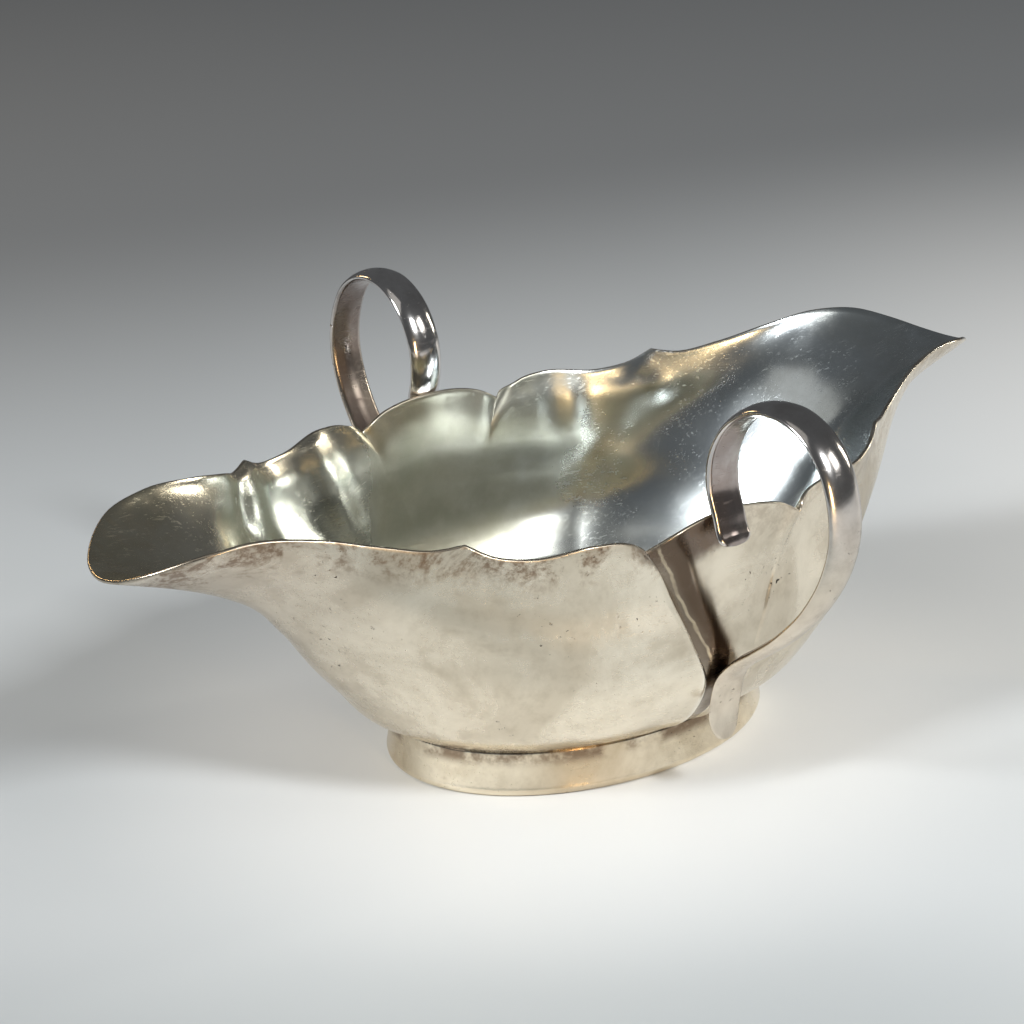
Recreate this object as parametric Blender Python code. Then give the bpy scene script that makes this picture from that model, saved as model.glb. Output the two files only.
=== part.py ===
"""Two-handled, double-lipped oval sauce boat, raised from silver sheet.

Four pieces: the bowl, the oval ring foot under it, and two strap handles on its long sides.
+X runs along the boat from lip to lip, +Y across it from handle to handle, +Z is up.
The origin is on the table, under the middle of the foot. Lengths below are in millimetres.
"""
import math

import bmesh
import bpy
import numpy as np

MM = 0.001

# Bowl: the rim of one quarter, from the handle axis (X = 0) to the tip of the lip.
RIM_PANEL = [(0, 43.0, 52.4), (6.5, 43.2, 51.9), (12.0, 42.8, 50.4), (15.7, 40.9, 48.2)]
RIM_SHOULDER = [(15.7, 40.9, 48.2), (17.2, 41.5, 49.6), (20.0, 41.6, 51.0), (26.0, 40.7, 51.8),
                (36.0, 36.6, 50.9), (42.0, 33.4, 52.2), (45.2, 31.3, 54.3)]
RIM_TONGUE = [(45.2, 31.3, 54.3), (49.0, 28.6, 53.6), (56.0, 24.6, 54.9), (65.0, 20.4, 57.2),
              (75.0, 17.4, 58.5), (83.5, 14.8, 57.4), (89.7, 9.8, 54.8), (92.8, 5.0, 53.0),
              (93.8, 0, 52.4)]
# Level rings of the wall below the rim, from the foot up: share of the wall's height,
# half length, half width, exponent of the oval (2 is an ellipse), half width of the panel.
WALL_RINGS = [
    (0.00, 35.3, 25.2, 2.00, 2.2),
    (0.085, 42.0, 32.6, 2.00, 2.6),
    (0.25, 48.8, 39.8, 2.00, 3.2),
    (0.36, 53.0, 42.2, 2.00, 3.9),
    (0.57, 60.0, 43.0, 1.95, 7.2),
    (0.76, 68.5, 42.7, 1.82, 10.7),
]
LIP_RING_HEIGHT = 0.90      # one more ring, half way from the highest one above to the rim
CREASE_DEPTH = 2.0          # of the groove on each side of a panel, near the rim
CREASE_PANEL_REACH = 3.8    # how far the groove's slope reaches over the panel
CREASE_SHOULDER_REACH = 1.5  # and over the shoulder
RIGHT_LIP_LIFT = 1.0        # hand work: the tip of the lip at +X stands this much higher
SHIFTED_CUSP = (-2.8, -0.9)  # and the cusp at -X, +Y is moved by this much along X and up
CUSP_SHIFT_REACH = 8.0      # how far along X that shift fades out
SHEET = 1.1                 # thickness of the silver
FLOOR_EDGE_Z = 7.3          # underside of the bowl where the foot meets it
FLOOR_MIDDLE_Z = 5.5        # underside of the bowl at its middle
PANEL_COLUMNS, SHOULDER_COLUMNS, TONGUE_COLUMNS = 6, 8, 11
CROWDING = 1.6              # columns stand closer together near a crease
WALL_ROWS, FLOOR_ROWS = 12, 3

# Foot: half length and half width of the outer edge on the table, and its section, as
# (inward from that edge, height), counterclockwise when the bowl's middle is on the left.
FOOT_HALF_LENGTH, FOOT_HALF_WIDTH = 37.4, 28.2
FOOT_SECTION = [(0, 0), (0.1, 0.7), (1.1, 2.6), (1.55, 5.4), (1.7, 6.3), (2.2, 6.75), (3.3, 6.75),
                (3.0, 5.0), (2.4, 1.0), (1.9, 0)]
FOOT_COLUMNS = 96

# Handle: the strap's centre line as (distance from the long axis, height), from the end
# under the rim, over the loop and down to the tip of the leaf.
HANDLE_LINE = [(46.6, 46.4), (45.3, 48.4), (44.4, 51.5), (43.0, 56.5), (43.2, 62.2),
               (46.6, 68.6), (52.8, 72.5), (60.0, 72.6), (65.8, 69.2), (69.4, 63.0),
               (70.4, 56.0), (68.6, 48.8), (64.2, 41.6), (58.2, 35.2), (51.6, 30.0),
               (46.4, 26.2), (43.4, 22.6), (42.4, 18.8), (42.1, 15.0), (42.6, 11.2)]
STRAP_WIDTH, STRAP_THICKNESS = 6.9, 1.9
LEAF_WIDTH, LEAF_THICKNESS = 8.2, 1.3
LEAF_START_Z = 27.0         # the strap begins to widen into the leaf below this height
HANDLE_ROWS = 50
ONLY_X, ONLY_Y = (1, 0, 0), (0, 1, 0)
END_CROWDING = 0.75         # 0 spaces the strap's sections evenly

SILVER = {
    "silver_bowl": ((0.72, 0.67, 0.57, 1), 0.24),
    "silver_foot": ((0.74, 0.66, 0.50, 1), 0.28),
    "silver_handle": ((0.62, 0.60, 0.57, 1), 0.20),
}


def clear_scene():
    for item in list(bpy.data.objects):
        bpy.data.objects.remove(item, do_unlink=True)


def silver(name):
    colour, roughness = SILVER[name]
    material = bpy.data.materials.get(name) or bpy.data.materials.new(name)
    material.use_nodes = True
    shader = material.node_tree.nodes["Principled BSDF"]
    shader.inputs["Base Color"].default_value = colour
    shader.inputs["Roughness"].default_value = roughness
    shader.inputs["Metallic"].default_value = 1.0
    return material


def smooth_curve(knots, values, at, end_slopes=(1, 1)):
    """Cubic curve through values at knots, with slopes taken from the neighbouring values.

    end_slopes multiplies the slope at the start and at the end, one factor for each axis.
    """
    knots = np.asarray(knots, float)
    values = np.asarray(values, float)
    slopes = np.gradient(values, knots, axis=0)
    slopes[0] *= end_slopes[0]
    slopes[-1] *= end_slopes[1]
    at = np.clip(np.asarray(at, float), knots[0], knots[-1])
    left = np.clip(np.searchsorted(knots, at, side="right") - 1, 0, len(knots) - 2)
    span = (knots[left + 1] - knots[left])[:, None]
    t = (at[:, None] - knots[left][:, None]) / span
    return ((2 * t**3 - 3 * t**2 + 1) * values[left] + (t**3 - 2 * t**2 + t) * span * slopes[left]
            + (3 * t**2 - 2 * t**3) * values[left + 1] + (t**3 - t**2) * span * slopes[left + 1])


def along(points, shares, end_slopes=(1, 1)):
    """Points at shares of the length of a smooth curve through points."""
    points = np.asarray(points, float)
    steps = np.linalg.norm(np.diff(points, axis=0), axis=1)
    knots = np.concatenate([[0], np.cumsum(steps)])
    return smooth_curve(knots, points, np.asarray(shares) * knots[-1], end_slopes)


def quarter_rim():
    """The rim from the handle axis to the tip of the lip, level with its mirror at both ends."""
    panel = along(RIM_PANEL, 1 - np.linspace(1, 0, PANEL_COLUMNS + 1) ** CROWDING, (ONLY_X, 1))
    shoulder = along(RIM_SHOULDER, np.linspace(0, 1, SHOULDER_COLUMNS + 1) ** CROWDING)
    tongue = along(RIM_TONGUE, np.linspace(0, 1, TONGUE_COLUMNS + 1), (1, ONLY_Y))
    return np.vstack([panel, shoulder[1:], tongue[1:]])


def oval_point(angle, half_length, half_width, exponent):
    x = half_length * np.sin(angle) ** (2 / exponent)
    y = half_width * np.cos(angle) ** (2 / exponent)
    return np.stack([x, y], axis=-1)


def quarter_ring(rim, half_length, half_width, exponent, panel_half_width):
    """Points of one level ring, one under each rim point, with the groove of the crease."""
    steps = np.linalg.norm(np.diff(rim[:, :2], axis=0), axis=1)
    run = np.concatenate([[0], np.cumsum(steps)])
    crease_run = run[PANEL_COLUMNS]
    crease_angle = math.asin((panel_half_width / half_length) ** (exponent / 2))
    on_panel = crease_angle * run / crease_run
    beyond = crease_angle + (math.pi / 2 - crease_angle) * (run - crease_run) / (run[-1] - crease_run)
    angle = np.where(run <= crease_run, on_panel, beyond)
    ring = oval_point(np.clip(angle, 0, math.pi / 2), half_length, half_width, exponent)
    away = np.linalg.norm(ring - ring[PANEL_COLUMNS], axis=1)
    depth = CREASE_DEPTH * min(1.0, panel_half_width / WALL_RINGS[-1][4])
    reach = np.where(run <= crease_run, CREASE_PANEL_REACH, CREASE_SHOULDER_REACH)
    ring[:, 1] -= depth * np.clip(1 - away / reach, 0, 1)
    ring[-1, 1] = 0
    return ring


def quarter_wall():
    """Outer surface of one quarter: rows from the foot to the rim, columns along the rim."""
    rim = quarter_rim()
    rise = rim[:, 2] - FLOOR_EDGE_Z
    rings = []
    heights = []
    for share, *oval in WALL_RINGS:
        ring = quarter_ring(rim, *oval)
        rings.append(np.column_stack([ring, FLOOR_EDGE_Z + share * rise]))
        heights.append(share)
    lip = (rings[-1] + rim) / 2
    lip[:, 2] = FLOOR_EDGE_Z + LIP_RING_HEIGHT * rise
    rings.extend([lip, rim])
    heights.extend([LIP_RING_HEIGHT, 1.0])
    rows = np.linspace(0, 1, WALL_ROWS + 1)
    flat = np.array(rings).reshape(len(rings), -1)
    return smooth_curve(heights, flat, rows).reshape(len(rows), -1, 3)


def hand_work(rows):
    """The small differences between the four quarters of a bowl shaped by hand."""
    cusp_x, tip_x = RIM_TONGUE[0][0], RIM_TONGUE[-1][0]
    beyond = np.clip((rows[:, :, 0] - cusp_x) / (tip_x - cusp_x), 0, 1)
    near_cusp = np.exp(-((rows[:, :, 0] + cusp_x) / CUSP_SHIFT_REACH) ** 2)
    up_the_wall = np.linspace(0, 1, len(rows))[:, None] ** 3
    near_cusp *= up_the_wall * (rows[:, :, 1] > 0)
    rows[:, :, 0] += SHIFTED_CUSP[0] * near_cusp
    rows[:, :, 2] += SHIFTED_CUSP[1] * near_cusp + RIGHT_LIP_LIFT * beyond**2
    return rows


def all_round(quarter):
    """Mirrors rows of a quarter, given from +Y to +X, into full rows round the boat."""
    to_far_lip = quarter
    to_near_handle = quarter[:, -2::-1] * (1, -1, 1)
    to_left_lip = quarter[:, 1:] * (-1, -1, 1)
    to_start = quarter[:, -2:0:-1] * (-1, 1, 1)
    return np.concatenate([to_far_lip, to_near_handle, to_left_lip, to_start], axis=1)


def floor_rows(edge):
    """Rows of the shallow floor, from near its middle out to just inside the given edge row."""
    rows = []
    for step in range(1, FLOOR_ROWS + 1):
        share = step / (FLOOR_ROWS + 1)
        row = edge * (share, share, 1)
        row[:, 2] = FLOOR_MIDDLE_Z + (FLOOR_EDGE_Z - FLOOR_MIDDLE_Z) * share**2
        rows.append(row)
    return np.array(rows)


def row_normals(rows):
    """Outward unit normals of a closed grid of rows that run round the boat."""
    around = np.roll(rows, -1, axis=1) - np.roll(rows, 1, axis=1)
    upward = np.gradient(rows, axis=0)
    normals = np.cross(upward, around)
    return normals / np.linalg.norm(normals, axis=2, keepdims=True)


def add_row(mesh, row):
    return [mesh.verts.new(point * MM) for point in row]


def bridge(mesh, low, high):
    """Quads between two rows of the same length, facing away from the middle."""
    for i in range(len(low)):
        j = (i + 1) % len(low)
        mesh.faces.new((low[j], low[i], high[i], high[j]))


def finish(mesh, name, material, edge_angle):
    bmesh.ops.recalc_face_normals(mesh, faces=mesh.faces)
    data = bpy.data.meshes.new(name)
    mesh.to_mesh(data)
    mesh.free()
    data.materials.append(silver(material))
    data.shade_smooth()
    data.set_sharp_from_angle(angle=math.radians(edge_angle))
    item = bpy.data.objects.new(name, data)
    bpy.context.scene.collection.objects.link(item)
    return item


def make_bowl():
    wall = hand_work(all_round(quarter_wall()))
    outer = np.concatenate([floor_rows(wall[0]), wall])
    inner = outer - SHEET * row_normals(outer)
    inner[-1, :, 2] = outer[-1, :, 2]
    mesh = bmesh.new()
    outer_rows = [add_row(mesh, row) for row in outer]
    inner_rows = [add_row(mesh, row) for row in inner]
    outer_middle = mesh.verts.new((0, 0, FLOOR_MIDDLE_Z * MM))
    inner_middle = mesh.verts.new((0, 0, (FLOOR_MIDDLE_Z + SHEET) * MM))
    for rows, middle in ((outer_rows, outer_middle), (inner_rows, inner_middle)):
        for i in range(len(rows[0])):
            mesh.faces.new((rows[0][i], rows[0][i - 1], middle))
        for low, high in zip(rows, rows[1:]):
            bridge(mesh, low, high)
    bridge(mesh, outer_rows[-1], inner_rows[-1])
    return finish(mesh, "bowl", "silver_bowl", 40)


def make_foot():
    mesh = bmesh.new()
    sections = []
    for inward, height in FOOT_SECTION:
        row = []
        for i in range(FOOT_COLUMNS):
            angle = 2 * math.pi * i / FOOT_COLUMNS
            x = (FOOT_HALF_LENGTH - inward) * math.sin(angle)
            y = (FOOT_HALF_WIDTH - inward) * math.cos(angle)
            row.append((x, y, height))
        sections.append(add_row(mesh, np.array(row)))
    for low, high in zip(sections, sections[1:] + sections[:1]):
        bridge(mesh, low, high)
    return finish(mesh, "foot_ring", "silver_foot", 35)


def strap_section(width, thickness):
    """Section as (across, outward): convex outside, flat inside with bevelled edges."""
    half = width / 2
    return [(-0.72 * half, -0.42 * thickness), (0.72 * half, -0.42 * thickness),
            (half, -0.12 * thickness), (0.93 * half, 0.14 * thickness),
            (0.62 * half, 0.42 * thickness), (0, 0.58 * thickness),
            (-0.62 * half, 0.42 * thickness), (-0.93 * half, 0.14 * thickness),
            (-half, -0.12 * thickness)]


def round_end(distance, width):
    """Share of the full width at a distance from a round end."""
    reach = min(1.0, distance / (width / 2))
    return 0.12 + 0.88 * math.sqrt(1 - (1 - reach) ** 2)


def handle_shares():
    """Places of the strap's sections along its length, closer together at the round ends."""
    even = np.linspace(0, 1, HANDLE_ROWS)
    return even - END_CROWDING * np.sin(2 * math.pi * even) / (2 * math.pi)


def make_handle(name, side):
    """A strap handle; side is -1 for the handle at -Y and 1 for the one at +Y."""
    line = along(HANDLE_LINE, handle_shares())
    tangents = np.gradient(line, axis=0)
    tangents /= np.linalg.norm(tangents, axis=1, keepdims=True)
    steps = np.linalg.norm(np.diff(line, axis=0), axis=1)
    run = np.concatenate([[0], np.cumsum(steps)])
    mesh = bmesh.new()
    rows = []
    for (across_y, height), (ty, tz), done in zip(line, tangents, run):
        leaf = 0.0
        if done > run[-1] / 2:
            leaf = min(1.0, max(0.0, (LEAF_START_Z - height) / (LEAF_START_Z - 16.0)))
        width = STRAP_WIDTH + (LEAF_WIDTH - STRAP_WIDTH) * leaf
        thickness = STRAP_THICKNESS + (LEAF_THICKNESS - STRAP_THICKNESS) * leaf
        width *= round_end(done, width) * round_end(run[-1] - done, width)
        row = []
        for across, outward in strap_section(width, thickness):
            y = across_y - tz * outward
            row.append((across, side * y, height + ty * outward))
        rows.append(add_row(mesh, np.array(row)))
    for low, high in zip(rows, rows[1:]):
        bridge(mesh, low, high)
    mesh.faces.new(rows[0])
    mesh.faces.new(rows[-1])
    return finish(mesh, name, "silver_handle", 40)


clear_scene()
make_bowl()
make_foot()
make_handle("near_handle", -1)
make_handle("far_handle", 1)
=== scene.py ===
"""Looks of the silver sauce boat: fine meshes, worn silver, a pale table and studio light.

The shapes follow the same driving dimensions as the CAD bowl, foot and handles. Sizes in the
shape tables are millimetres; MM turns them into Blender's metres. Places in the materials and
distances in the studio are metres.
"""

import math

import bmesh
import bpy
import numpy as np
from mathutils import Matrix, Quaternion, Vector, noise


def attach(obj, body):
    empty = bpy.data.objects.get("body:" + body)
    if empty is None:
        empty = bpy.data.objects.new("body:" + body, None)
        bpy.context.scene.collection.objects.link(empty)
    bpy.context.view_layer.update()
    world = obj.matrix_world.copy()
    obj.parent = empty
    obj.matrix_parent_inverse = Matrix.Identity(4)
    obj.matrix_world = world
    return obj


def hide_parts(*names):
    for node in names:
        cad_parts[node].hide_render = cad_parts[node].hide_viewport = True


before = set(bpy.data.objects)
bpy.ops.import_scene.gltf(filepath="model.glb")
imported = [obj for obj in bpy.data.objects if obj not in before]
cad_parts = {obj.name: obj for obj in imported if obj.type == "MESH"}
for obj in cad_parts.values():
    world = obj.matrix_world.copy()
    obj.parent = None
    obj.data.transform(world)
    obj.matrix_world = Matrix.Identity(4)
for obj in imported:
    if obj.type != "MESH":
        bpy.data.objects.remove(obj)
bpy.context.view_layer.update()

MM = 0.001

# ---------------------------------------------------------------- shape tables
# The rim's line in one quarter, as X, Y and Z: the panel, the shoulder and the lip.
RIM_PANEL = [(0, 43.0, 52.4), (6.5, 43.2, 51.9), (12.0, 42.8, 50.4), (15.7, 40.9, 48.2)]
RIM_SHOULDER = [(15.7, 40.9, 48.2), (17.2, 41.5, 49.6), (20.0, 41.6, 51.0), (26.0, 40.7, 51.8),
                (36.0, 36.6, 50.9), (42.0, 33.4, 52.2), (45.2, 31.3, 54.3)]
RIM_TONGUE = [(45.2, 31.3, 54.3), (49.0, 28.6, 53.6), (56.0, 24.6, 54.9), (65.0, 20.4, 57.2),
              (75.0, 17.4, 58.5), (83.5, 14.8, 57.4), (89.7, 9.8, 54.8), (92.8, 5.0, 53.0),
              (93.8, 0, 52.4)]
# The rim's line as if its notch were filled: it guides the inner face past a shallow crease.
FILLED_RIM = [(0, 43.0, 52.4), (6.5, 43.2, 52.2), (12.0, 42.95, 52.0), (15.7, 42.6, 51.9),
              (20.0, 41.95, 51.8), (26.0, 40.7, 51.8)]
DEEP_CREASE = 1.0              # a crease this deep shows on the inner face too
SLIDE_ALONG, SLIDE_OFF = 2, 12   # powers of the height: how late a column moves to its rim point
# share of the wall's height, half length, half width, exponent of the oval, panel half width
WALL_RINGS = [
    (0.00, 35.3, 25.2, 2.00, 2.2),
    (0.085, 42.0, 32.6, 2.00, 2.6),
    (0.25, 48.8, 39.8, 2.00, 3.2),
    (0.36, 53.0, 42.2, 2.00, 3.9),
    (0.57, 60.0, 43.0, 1.95, 7.2),
    (0.76, 68.5, 42.7, 1.82, 10.7),
]
LIP_RING_HEIGHT = 0.90
# The four creases: far right, near right, near left, far left.
CREASE_DEPTHS = (0.4, 0.2, 2.2, 0.4)
# strength of the dark band beside each crease: tarnish in the hollow with painted shade
CREASE_STAIN_AND_SHADE = (0.6, 0.0, 1.0, 0.6)
CREASE_PANEL_REACH = 4.2
CREASE_SHOULDER_REACH = 0.9
CREASE_ROUNDING = 0.004
NOTCH_FILL, NOTCH_FILL_REACH = 2.2, 1.9
PANEL_HOLLOW = 1.35
SWELLING_LOSS, SWELLING_REACH = 0.6, 4.5
# BEAD_SHINE and BEAD_COLUMNS give the width and the columns of the painted highlight along the
# bead.
BEAD_HEIGHT, BEAD_PLACE, BEAD_REACH, BEAD_SHINE = 0.40, 1.25, 0.5, 0.45
BEAD_COLUMNS = 12
RIGHT_LIP_LIFT = 1.0
SHIFTED_CUSP = (-2.8, -0.9)    # the far left cusp, along X and Z
CUSP_SHIFT_REACH = 8.0
SHEET, RIM_SHEET = 1.1, 0.75   # thickness of the wall, and at the rim
RIM_THINNING_SHARE = 0.12      # the sheet thins over this share of the wall below the rim
RIM_JOIN_SHARE = 0.03          # and here the inner face follows the outer one
RIM_EDGE_STEPS, RIM_EDGE_FULLNESS = 5, 0.8
FLOOR_EDGE_Z, FLOOR_MIDDLE_Z = 7.3, 5.5
PANEL_COLUMNS, SHOULDER_COLUMNS, TONGUE_COLUMNS = 22, 34, 44
CROWDING = 1.6                 # columns stand closer together beside a crease
WALL_ROWS, FLOOR_ROWS = 72, 6
BOTTOM_ROWS, INNER_WALL_ROWS = 44, 57
BOTTOM_EDGE_Z = 16.5           # the inner bottom meets the inner wall at this level
BOTTOM_FLATNESS, BOTTOM_FULLNESS = 1.15, 1.6
FAR_FROM_CREASE = 20.0

FOOT_HALF_LENGTH, FOOT_HALF_WIDTH = 37.4, 28.2
# The foot's two faces: how far inward of the half sizes, and the height.
FOOT_OUTSIDE = [(0.95, 0), (0.50, 0.12), (0.16, 0.42), (0, 0.95), (0.12, 1.7), (0.32, 3.2),
                (0.45, 5.0), (0.5, 6.4), (0.42, 7.3), (0.40, 7.9), (0.55, 8.3), (0.9, 8.5)]
FOOT_INSIDE = [(3.3, 8.0), (3.1, 5.6), (2.6, 2.4), (2.1, 0.4), (1.9, 0)]
FOOT_COLUMNS, FOOT_OUTER_ROWS, FOOT_INNER_ROWS = 360, 40, 24
FOOT_WAVE_SIZE, FOOT_WAVE_SHARE = 14.0, 0.0016
SOLDER_Z = (4.9, 7.2)          # grime fades in over this height below the bowl

# The strap's middle line, out from the boat's middle and up, from its upper end.
HANDLE_LINE = [(46.6, 46.4), (45.3, 48.4), (44.4, 51.5), (43.0, 56.5), (43.2, 62.2),
               (46.6, 68.6), (52.8, 72.5), (60.0, 72.6), (65.8, 69.2), (69.4, 63.0),
               (70.4, 56.0), (68.6, 48.8), (64.2, 41.6), (58.2, 35.2), (51.6, 30.0),
               (46.4, 26.2), (43.4, 22.6), (42.4, 18.8), (42.1, 15.0), (42.6, 11.2)]
STRAP_WIDTH, STRAP_THICKNESS = 6.9, 1.9
LEAF_WIDTH, LEAF_THICKNESS = 6.8, 1.3   # the flat leaf at the lower end
LEAF_START_Z, LEAF_FULL_Z = 27.0, 16.0
LEAF_DISH = 0.45
NEAR_LEAF_SHIFT = 0.8
STRAP_WAVE_SIZE, STRAP_WAVE_HEIGHT = 9.0, 0.07
TIP_TAPER = 1.6
HANDLE_ROWS = 260
END_CROWDING = 0.75


# ---------------------------------------------------------------- curves
ONLY_X, ONLY_Y = (1, 0, 0), (0, 1, 0)   # the part of a slope that a line keeps at its end


def smooth_curve(knots, values, at, end_slopes=(1, 1)):
    """A smooth line through the values, read at the given places."""
    knots = np.asarray(knots, float)
    values = np.asarray(values, float)
    slopes = np.gradient(values, knots, axis=0)
    slopes[0] *= end_slopes[0]
    slopes[-1] *= end_slopes[1]
    at = np.clip(np.asarray(at, float), knots[0], knots[-1])
    left = np.clip(np.searchsorted(knots, at, side="right") - 1, 0, len(knots) - 2)
    span = (knots[left + 1] - knots[left])[:, None]
    t = (at[:, None] - knots[left][:, None]) / span
    return ((2 * t**3 - 3 * t**2 + 1) * values[left] + (t**3 - 2 * t**2 + t) * span * slopes[left]
            + (3 * t**2 - 2 * t**3) * values[left + 1] + (t**3 - t**2) * span * slopes[left + 1])


def along(points, shares, end_slopes=(1, 1)):
    """Points at these shares of the length of a smooth line through the given points."""
    points = np.asarray(points, float)
    steps = np.linalg.norm(np.diff(points, axis=0), axis=1)
    knots = np.concatenate([[0], np.cumsum(steps)])
    return smooth_curve(knots, points, np.asarray(shares) * knots[-1], end_slopes)


def smoothstep(low, high, value):
    t = np.clip((value - low) / (high - low), 0, 1)
    return t * t * (3 - 2 * t)


# ---------------------------------------------------------------- bowl
def quarter_rim():
    """The rim from a handle's axis to the lip's tip, all the points in one quarter."""
    panel = along(RIM_PANEL, 1 - np.linspace(1, 0, PANEL_COLUMNS + 1) ** CROWDING, (ONLY_X, 1))
    shoulder = along(RIM_SHOULDER, np.linspace(0, 1, SHOULDER_COLUMNS + 1) ** CROWDING)
    tongue = along(RIM_TONGUE, np.linspace(0, 1, TONGUE_COLUMNS + 1), (1, ONLY_Y))
    return np.vstack([panel, shoulder[1:], tongue[1:]])


def oval_point(angle, half_length, half_width, exponent):
    x = half_length * np.sin(angle) ** (2 / exponent)
    y = half_width * np.cos(angle) ** (2 / exponent)
    return np.stack([x, y], axis=-1)


def groove(away, on_panel, panel_half_width, depth):
    """How far the wall stands back beside a crease: a ramp on the panel, then a raised bead."""
    share = min(1.0, panel_half_width / WALL_RINGS[-1][4])
    reach = np.where(on_panel, min(CREASE_PANEL_REACH, 0.85 * panel_half_width),
                     CREASE_SHOULDER_REACH)
    slope = 1 - away / reach
    slope = (slope + np.sqrt(slope**2 + CREASE_ROUNDING)) / 2
    back = depth * share * np.where(on_panel, slope ** PANEL_HOLLOW, slope)
    bead = BEAD_HEIGHT * share * np.exp(-((away - BEAD_PLACE) / BEAD_REACH) ** 2)
    return back - np.where(on_panel, 0, bead) * min(1, depth)


def swelling(away, panel_half_width, depth):
    """The soft ridge a crease leaves on the inner face."""
    share = min(1.0, panel_half_width / WALL_RINGS[-1][4])
    return max(0, depth - SWELLING_LOSS) * share * np.exp(-(away / SWELLING_REACH) ** 2)


def quarter_ring(rim, oval, depth, inner):
    """One level of the wall, with a point under each point of the rim."""
    half_length, half_width, exponent, panel_half_width = oval
    steps = np.linalg.norm(np.diff(rim[:, :2], axis=0), axis=1)
    run = np.concatenate([[0], np.cumsum(steps)])
    crease_run = run[PANEL_COLUMNS]
    crease_angle = math.asin((panel_half_width / half_length) ** (exponent / 2))
    on_panel = run <= crease_run
    past_crease = (run - crease_run) / (run[-1] - crease_run)
    angle = np.where(on_panel, crease_angle * run / crease_run,
                     crease_angle + (math.pi / 2 - crease_angle) * past_crease)
    ring = oval_point(np.clip(angle, 0, math.pi / 2), half_length, half_width, exponent)
    away = np.linalg.norm(ring - ring[PANEL_COLUMNS], axis=1)
    if inner:
        ring[:, 1] -= swelling(away, panel_half_width, depth)
    else:
        ring[:, 1] -= groove(away, on_panel, panel_half_width, depth)
    ring[-1, 1] = 0
    return ring


def wall_rings(rim, depth, inner):
    """The wall's levels up to the rim, and the share of the wall's height each one lies at."""
    rise = rim[:, 2] - FLOOR_EDGE_Z
    rings = []
    heights = []
    for share, *oval in WALL_RINGS:
        ring = quarter_ring(rim, oval, depth, inner)
        rings.append(np.column_stack([ring, FLOOR_EDGE_Z + share * rise]))
        heights.append(share)
    lip = (rings[-1] + rim) / 2
    lip[:, 2] = FLOOR_EDGE_Z + LIP_RING_HEIGHT * rise
    rings.extend([lip, rim])
    heights.extend([LIP_RING_HEIGHT, 1.0])
    return heights, np.array(rings)


def filled_rim(rim):
    filled = rim.copy()
    beside = rim[:, 0] < FILLED_RIM[-1][0]
    knots = [point[0] for point in FILLED_RIM]
    filled[beside, 1:] = smooth_curve(knots, [point[1:] for point in FILLED_RIM], rim[beside, 0])
    return filled


def slide_to_rim(rim, wall, heights, rings, end_shares):
    """Shifts along the filled wall, and at last off it, that end each column at its rim point."""
    slide = np.zeros_like(wall)
    climb = np.linspace(0, 1, len(wall))
    for c in range(len(rim)):
        level = smooth_curve(heights, rings, end_shares[c:c + 1])[0]
        y = np.interp(rim[c, 0], level[:, 0], level[:, 1])
        slide[:, c, 0] = climb**SLIDE_ALONG * (rim[c, 0] - wall[-1, c, 0])
        slide[:, c, 1] = (climb**SLIDE_ALONG * (y - wall[-1, c, 1])
                          + climb**SLIDE_OFF * (rim[c, 1] - y))
    return slide


def quarter_wall(depth, inner):
    """Rows of points up one quarter of the wall; the inner face starts at BOTTOM_EDGE_Z."""
    rim = quarter_rim()
    shallow = 1 - depth / max(CREASE_DEPTHS)
    from_notch = (rim[:, 0] - RIM_SHOULDER[0][0]) / NOTCH_FILL_REACH
    rim[:, 1] += NOTCH_FILL * shallow * np.exp(-from_notch**2)
    rise = rim[:, 2] - FLOOR_EDGE_Z
    lowest = (BOTTOM_EDGE_Z - FLOOR_EDGE_Z) / rise if inner else 0 * rise
    steps = np.linspace(0, 1, (INNER_WALL_ROWS if inner else WALL_ROWS) + 1)[:, None]
    shares = lowest + (1 - lowest) * steps
    smooth_inside = inner and depth < DEEP_CREASE
    guide = filled_rim(rim) if smooth_inside else rim
    heights, rings = wall_rings(guide, depth, inner)
    shares *= rise / (guide[:, 2] - FLOOR_EDGE_Z)
    columns = [smooth_curve(heights, rings[:, c], shares[:, c]) for c in range(len(rim))]
    wall = np.stack(columns, axis=1)
    if smooth_inside:
        wall += slide_to_rim(rim, wall, heights, rings, shares[-1])
    return wall


def all_round(inner):
    """The four quarters in turn, from the far handle's axis clockwise as seen from above."""
    quarters = [quarter_wall(depth, inner) for depth in CREASE_DEPTHS]
    far_right, near_right, near_left, far_left = quarters
    to_right_lip = far_right
    to_near_handle = near_right[:, -2::-1] * (1, -1, 1)
    to_left_lip = near_left[:, 1:] * (-1, -1, 1)
    to_start = far_left[:, -2:0:-1] * (-1, 1, 1)
    return np.concatenate([to_right_lip, to_near_handle, to_left_lip, to_start], axis=1)


def hand_work(rows, heights):
    """Moves the far left cusp and lifts the right lip, where the boat isn't symmetric."""
    cusp_x, tip_x = RIM_TONGUE[0][0], RIM_TONGUE[-1][0]
    beyond = np.clip((rows[:, :, 0] - cusp_x) / (tip_x - cusp_x), 0, 1)
    near_cusp = np.exp(-((rows[:, :, 0] + cusp_x) / CUSP_SHIFT_REACH) ** 2)
    up_the_wall = heights[:, None] ** 3
    near_cusp *= up_the_wall * (rows[:, :, 1] > 0)
    rows[:, :, 0] += SHIFTED_CUSP[0] * near_cusp
    rows[:, :, 2] += SHIFTED_CUSP[1] * near_cusp + RIGHT_LIP_LIFT * beyond**2
    return rows


def floor_rows(edge):
    """Rows from the middle of the outer floor to its edge."""
    rows = []
    for step in range(1, FLOOR_ROWS + 1):
        share = step / (FLOOR_ROWS + 1)
        row = edge * (share, share, 1)
        row[:, 2] = FLOOR_MIDDLE_Z + (FLOOR_EDGE_Z - FLOOR_MIDDLE_Z) * share**2
        rows.append(row)
    return np.array(rows)


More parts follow.
